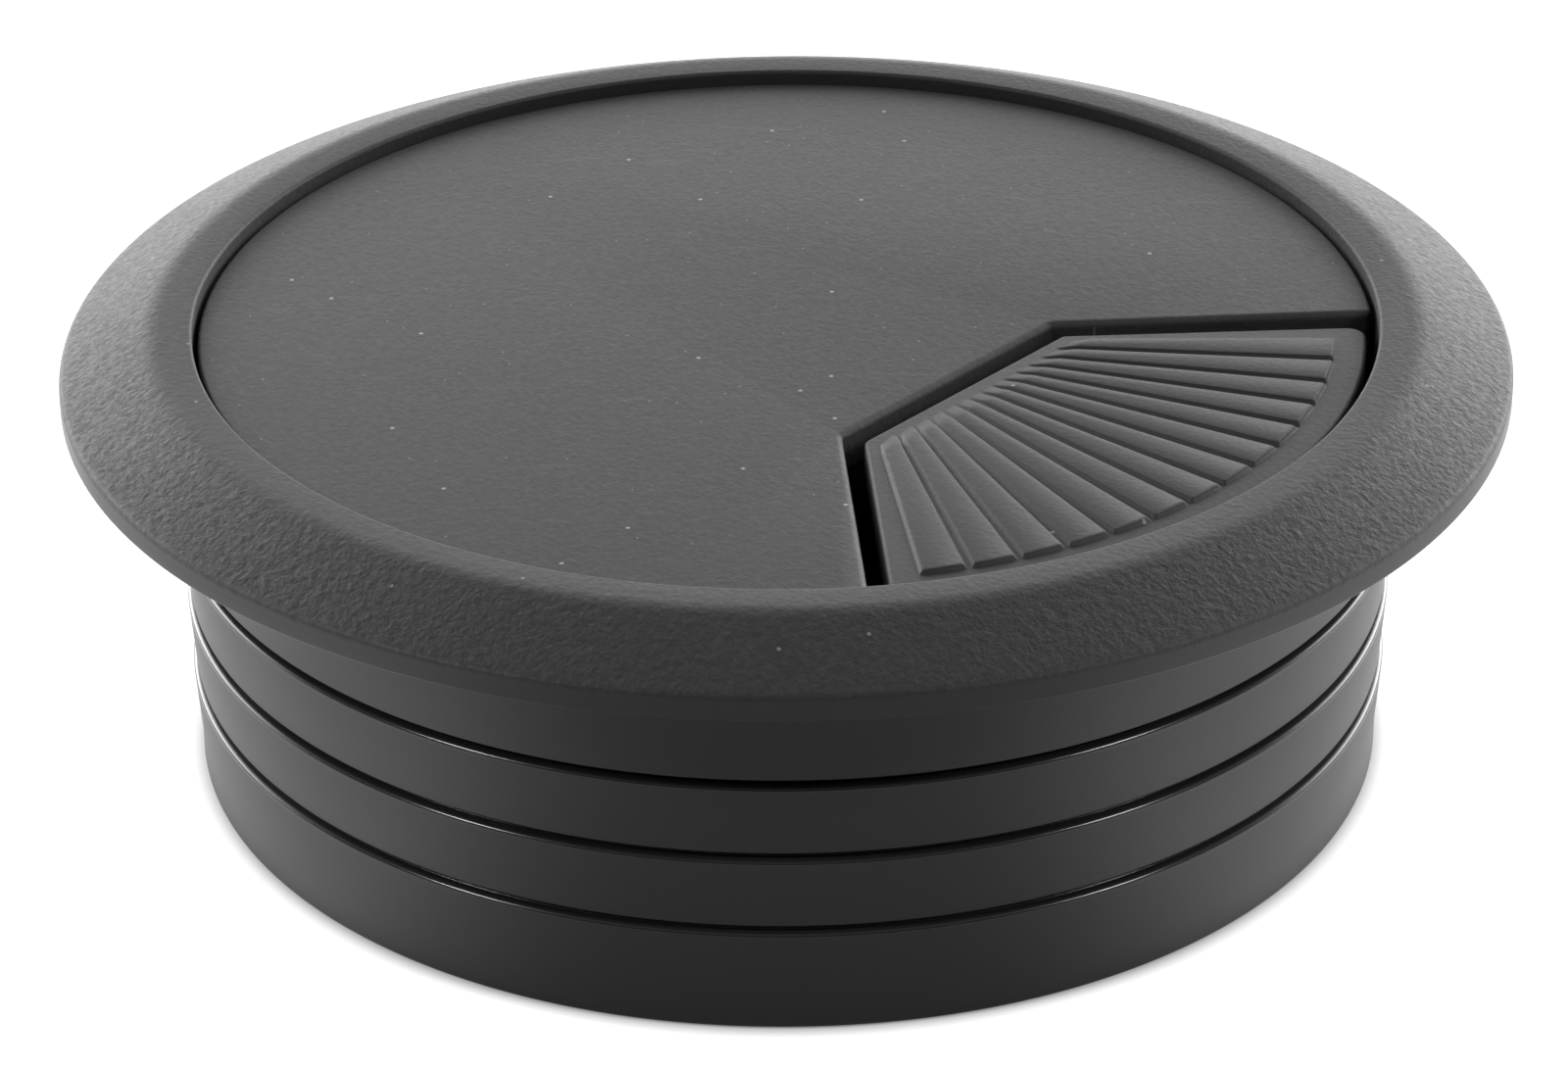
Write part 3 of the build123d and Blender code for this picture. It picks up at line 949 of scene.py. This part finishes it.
class GROMMET_OT_flap(bpy.types.Operator):
    """Mould the flap: its plate and the two knuckles that turn on the pin"""

    bl_idname = "grommet.flap"
    bl_label = "Flap"

    def execute(self, context):
        sizes = context.scene.grommet_flap
        hinge = context.scene.grommet_hinge
        cap = context.scene.grommet_cap
        finish = finish_named("moulded_flap", flap_finish, sizes)
        plate = Shape()
        plate.plate(
            flap_outline(sizes), -sizes.thickness, 0, HIDDEN_EDGE, sizes.edge, steps=6, to=leaf_place(sizes)
        )
        settle(add("flap_plate", plate.mesh("flap_plate")), finish, "flap", "flap_black", "flap")
        under = cap.top_z - cap.thickness - RUNNING
        web_x = sizes.chord_x + WEB_REACH
        turns = [-pi / 4 - pi * 1.25 * n / 20 for n in range(21)]
        section = about(hinge, sizes.knuckle_r, turns)
        section += [
            (cap.slot_x - WEB_BACK, under),
            (cap.slot_x, under),
            (sizes.chord_x + WEB_NEAR, flap_underside(sizes, sizes.chord_x) + JOIN),
            (web_x, flap_underside(sizes, web_x) + JOIN),
            (web_x, flap_underside(sizes, web_x)),
        ]
        outline = [Vector(point) for point in reversed(section)]
        knuckles = Shape()
        for side in (1, -1):
            low, high = sorted((side * sizes.knuckle_in, side * sizes.knuckle_out))
            knuckles.plate(outline, -high, -low, HIDDEN_EDGE, HIDDEN_EDGE, to=UPRIGHT)
        piece = add("flap_knuckles", knuckles.mesh("flap_knuckles"))
        drilled(piece, hinge, hinge.pin_r + RUNNING)
        settle(piece, finish, "flap", "flap_black", "flap")
        return {"FINISHED"}


class GROMMET_OT_ribs(bpy.types.Operator):
    """Raise the fan of ribs on the flap"""

    bl_idname = "grommet.ribs"
    bl_label = "Ribs"

    def execute(self, context):
        sizes = context.scene.grommet_flap
        height = sizes.rib_h
        lean = height * tan(sizes.rib_draft)
        top_edge = 0.09 * MM
        levels = [(-0.15 * MM, -0.06 * MM), (0.0, -0.03 * MM), (0.03 * MM, 0.01 * MM)]
        shoulder = lean * (1 - top_edge / height)
        levels.append((height - top_edge, shoulder))
        levels.append((height - 0.3 * top_edge, shoulder + 0.4 * top_edge))
        levels.append((height, shoulder + 1.1 * top_edge))
        rings = []
        for z, inset in levels:
            round_r = max(0.10 * MM + inset * 0.2, 0.05 * MM)
            outline = rounded(
                [
                    (inset, -1 + inset, round_r),
                    (1 - inset, -1 + inset, round_r),
                    (1 - inset, 1 - inset, round_r),
                    (inset, 1 - inset, round_r),
                ],
                steps=3,
            )
            rings.append([(p.x, p.y, z) for p in outline])
        blank = Shape()
        blank.rings(rings)
        mesh = bpy.data.meshes.new("flap_ribs")
        mesh.from_pydata(blank.points, [], blank.faces)
        work = bmesh.new()
        work.from_mesh(mesh)
        for n in range(1, 9):
            across = Vector((sizes.rib_rise * n / 8, 0, 0))
            everything = [*work.verts, *work.edges, *work.faces]
            bmesh.ops.bisect_plane(work, geom=everything, plane_co=across, plane_no=(1, 0, 0))
        work.to_mesh(mesh)
        work.free()
        piece = add("flap_ribs", mesh)
        given = {
            "Ribs": sizes.ribs,
            "Pitch": sizes.rib_pitch,
            "Half Width": sizes.rib_pitch * sizes.rib_share / 2,
            "Near": sizes.chord_x + sizes.rib_margin - sizes.rib_apex,
            "Apex": sizes.rib_apex,
            "End Radius": sizes.rib_end_r,
            "Rise": sizes.rib_rise,
            "Material": finish_named("moulded_flap", flap_finish, sizes),
        }
        apply_tree(piece, fan_tree(), given)
        piece.data.transform(leaf_place(sizes) @ Matrix.Translation((-sizes.chord_x, 0, 0)))
        settle(piece, given["Material"], "flap", "flap_black", "flap")
        return {"FINISHED"}


def wire(name, points, radius):
    """A round wire along points, as a mesh."""
    line = bpy.data.curves.new(name, "CURVE")
    line.dimensions = "3D"
    line.bevel_depth = radius
    line.bevel_resolution = 4
    line.use_fill_caps = True
    spline = line.splines.new("POLY")
    spline.points.add(len(points) - 1)
    for point, here in zip(spline.points, points):
        point.co = (*here, 1)
    piece = bpy.data.objects.new(name, line)
    bpy.context.scene.collection.objects.link(piece)
    mesh = evaluated(piece)
    bpy.data.objects.remove(piece)
    tidy_mesh(mesh, 50)
    return add(name, mesh)


class GROMMET_OT_hinge(bpy.types.Operator):
    """Fit the hinge pin and the torsion spring"""

    bl_idname = "grommet.hinge"
    bl_label = "Hinge"

    def execute(self, context):
        sizes = context.scene.grommet_hinge
        flap = context.scene.grommet_flap
        cap = context.scene.grommet_cap
        finish = finish_named("drawn_steel", steel_finish, sizes)
        chamfer = sizes.chamfer
        stations = [(-sizes.pin_end, sizes.pin_r - chamfer), (-sizes.pin_end + chamfer, sizes.pin_r)]
        stations += [(sizes.pin_end - chamfer, sizes.pin_r), (sizes.pin_end, sizes.pin_r - chamfer)]
        pin = rod(sizes, stations)
        settle(add("steel_pin", pin.mesh("steel_pin")), finish, "cap", "spring_steel", "hinge_pin")
        gap = WIRE_GAP + sizes.wire_r
        coil_top = sizes.axis_z + sizes.coil_r
        steps = 32 * sizes.coil_turns
        fixed = [(sizes.fixed_leg + 0.02 * MM, -sizes.coil_half, cap.top_z - cap.thickness - gap)]
        for n in range(steps + 1):
            turn = 2 * pi * sizes.coil_turns * n / steps
            fixed.append(
                (
                    sizes.axis_x + sizes.coil_r * sin(turn),
                    -sizes.coil_half + 2 * sizes.coil_half * n / steps,
                    sizes.axis_z + sizes.coil_r * cos(turn),
                )
            )
        coil = wire("spring_coil", fixed, sizes.wire_r)
        settle(coil, finish, "cap", "spring_steel", "flap_spring")
        end = (sizes.moving_leg, sizes.coil_half, flap_underside(flap, sizes.moving_leg) - gap)
        leg = wire("spring_leg", [(sizes.axis_x, sizes.coil_half, coil_top), end], sizes.wire_r)
        settle(leg, finish, "flap", "spring_steel", "flap_spring")
        return {"FINISHED"}


class GROMMET_OT_stage(bpy.types.Operator):
    """Set up the floor, the soft studio light and the camera"""

    bl_idname = "grommet.stage"
    bl_label = "Stage"

    def execute(self, context):
        sizes = context.scene.grommet_stage
        scene = context.scene
        half = sizes.floor_size
        level = context.scene.grommet_liner.foot_z - 0.02 * MM
        mesh = bpy.data.meshes.new("floor")
        corners = [(-half, -half, level), (half, -half, level), (half, half, level), (-half, half, level)]
        mesh.from_pydata(corners, [], [(0, 1, 2, 3)])
        floor = add("floor", mesh)
        mesh.materials.append(finish_named("pale_board", floor_finish, sizes))
        self.light(scene, sizes)
        self.camera(scene, sizes)
        scene.view_settings.view_transform = "Standard"
        return {"FINISHED"}

    @staticmethod
    def light(scene, sizes):
        """A soft dome, bright behind the object and to both sides, and two soft lamps at the front."""
        world = bpy.data.worlds.new("studio")
        world.use_nodes = True
        world.node_tree.nodes.clear()
        scene.world = world
        maker = Maker(world.node_tree)
        x, y, z = maker.split(maker.node("ShaderNodeTexCoord").outputs["Generated"])
        behind = y * cos(sizes.azimuth) - x * sin(sizes.azimuth)
        across = (x * cos(sizes.azimuth) + y * sin(sizes.azimuth)).abs()
        low = maker.smooth(z, 0.35, 0.85, 1, 0)
        back = maker.smooth(behind, -0.1, 0.75) * low
        panels = maker.smooth(across, 0.12, 0.40) * maker.smooth(z, 0.55, 0.25)
        panels = panels * maker.smooth(behind, 0.1, 0.6)
        level = sizes.front + back * (sizes.back - sizes.front) + panels * sizes.sides
        level = level + (1 - low) * (sizes.overhead - sizes.front)
        sockets = {"Color": (1, 1, 1, 1), "Strength": level}
        background = maker.node("ShaderNodeBackground", sockets=sockets)
        maker.node("ShaderNodeOutputWorld", sockets={"Surface": background.outputs[0]})
        for side in (1, -1):
            turn = sizes.azimuth + side * sizes.lamp_turn
            flat = cos(sizes.lamp_lift)
            toward = Vector((sin(turn) * flat, -cos(turn) * flat, sin(sizes.lamp_lift)))
            lamp = bpy.data.lights.new("soft_lamp", "AREA")
            lamp.size = LAMP_SIZE
            lamp.energy = sizes.lamp * pi * LAMP_SIZE**2
            holder = bpy.data.objects.new("soft_lamp", lamp)
            scene.collection.objects.link(holder)
            holder.location = toward * LAMP_DISTANCE
            holder.rotation_euler = toward.to_track_quat("Z", "Y").to_euler()

    @staticmethod
    def camera(scene, sizes):
        """The camera, placed round the origin and turned by its own pitch, yaw and roll."""
        lens = bpy.data.cameras.new("camera")
        lens.sensor_width = 36
        lens.lens = sizes.lens
        lens.clip_start = 0.01
        lens.clip_end = 20
        camera = bpy.data.objects.new("camera", lens)
        scene.collection.objects.link(camera)
        flat = sizes.distance * cos(sizes.elevation)
        camera.location = (
            flat * sin(sizes.azimuth),
            -flat * cos(sizes.azimuth),
            sizes.distance * sin(sizes.elevation),
        )
        aim = Matrix.Rotation(sizes.azimuth + sizes.yaw, 4, "Z")
        aim = aim @ Matrix.Rotation(pi / 2 - sizes.pitch, 4, "X") @ Matrix.Rotation(sizes.roll, 4, "Z")
        camera.rotation_euler = aim.to_euler()
        scene.camera = camera


STEPS = (
    GROMMET_OT_liner,
    GROMMET_OT_cap,
    GROMMET_OT_fingers,
    GROMMET_OT_flap,
    GROMMET_OT_ribs,
    GROMMET_OT_hinge,
    GROMMET_OT_stage,
)


class GROMMET_PT_parts(bpy.types.Panel):
    """Every piece of the grommet, with its settings"""

    bl_idname = "GROMMET_PT_parts"
    bl_label = "Desk Grommet"
    bl_space_type = "VIEW_3D"
    bl_region_type = "UI"
    bl_category = "Grommet"

    def draw(self, context):
        for step in STEPS:
            self.layout.operator(step.bl_idname, text=step.bl_label)
        for name, group in SETTINGS.items():
            box = self.layout.box()
            box.label(text=name.replace("_", " ").capitalize())
            for key in group.__annotations__:
                box.prop(getattr(context.scene, name), key)


def register():
    for group in SETTINGS.values():
        bpy.utils.register_class(group)
    for name, group in SETTINGS.items():
        setattr(bpy.types.Scene, name, bpy.props.PointerProperty(type=group))
    for step in (*STEPS, GROMMET_PT_parts):
        bpy.utils.register_class(step)


def unregister():
    for step in reversed((*STEPS, GROMMET_PT_parts)):
        bpy.utils.unregister_class(step)
    for name in SETTINGS:
        delattr(bpy.types.Scene, name)
    for group in reversed(SETTINGS.values()):
        bpy.utils.unregister_class(group)


def main():
    register()
    bpy.ops.grommet.liner()
    bpy.ops.grommet.cap()
    bpy.ops.grommet.fingers()
    bpy.ops.grommet.flap()
    bpy.ops.grommet.ribs()
    bpy.ops.grommet.hinge()
    bpy.ops.grommet.stage()


if __name__ == "__main__":
    main()
